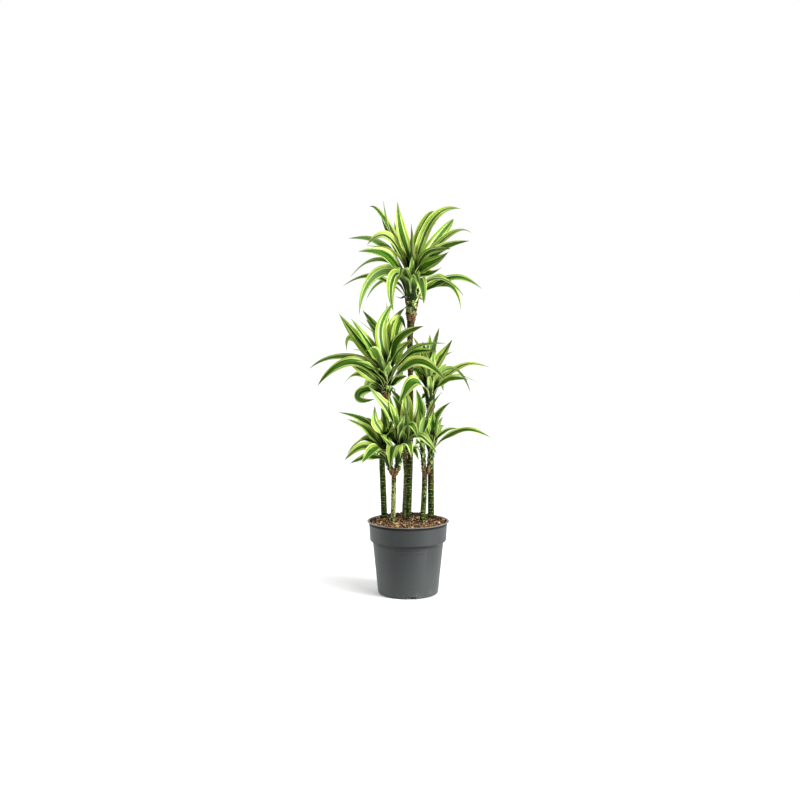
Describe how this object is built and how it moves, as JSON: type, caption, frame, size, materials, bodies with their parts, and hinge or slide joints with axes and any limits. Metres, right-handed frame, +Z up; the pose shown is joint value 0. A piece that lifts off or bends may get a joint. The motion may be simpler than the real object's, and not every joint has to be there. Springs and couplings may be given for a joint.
{
  "type": "potted corn plant",
  "caption": "Tall indoor foliage plant: bare ringed canes in a grey nursery pot of bark soil, topped by arching rosettes of long green leaves with lime and white stripes.",
  "frame": {"origin": "on the floor under the middle of the pot, at the centre of the flat pad of its base", "axes": "+Z up along the pot's axis, -Y to the front of the plant, +X to its right as seen from the front"},
  "size_m": [0.599, 0.3838, 1.297],
  "materials": {
    "pot_plastic": "moulded, satin sheen",
    "bark_soil": "rough bark and coir chips",
    "cane_bark": "dry, with pale ring scars",
    "leaf_blade": "waxy, striped green, white and lime"
  },
  "bodies": {
    "root": {"pot": "pot_plastic", "soil": "bark_soil", "cane_left_back": "cane_bark", "cane_left_front": "cane_bark", "cane_centre_back": "cane_bark", "cane_centre_tall": "cane_bark", "cane_right_front": "cane_bark", "cane_right_back": "cane_bark", "crown_top": "leaf_blade", "crown_mid_left": "leaf_blade", "crown_mid_right": "leaf_blade", "crown_low_left": "leaf_blade", "crown_low_centre": "leaf_blade", "crown_low_right": "leaf_blade"}
  },
  "joints": []
}
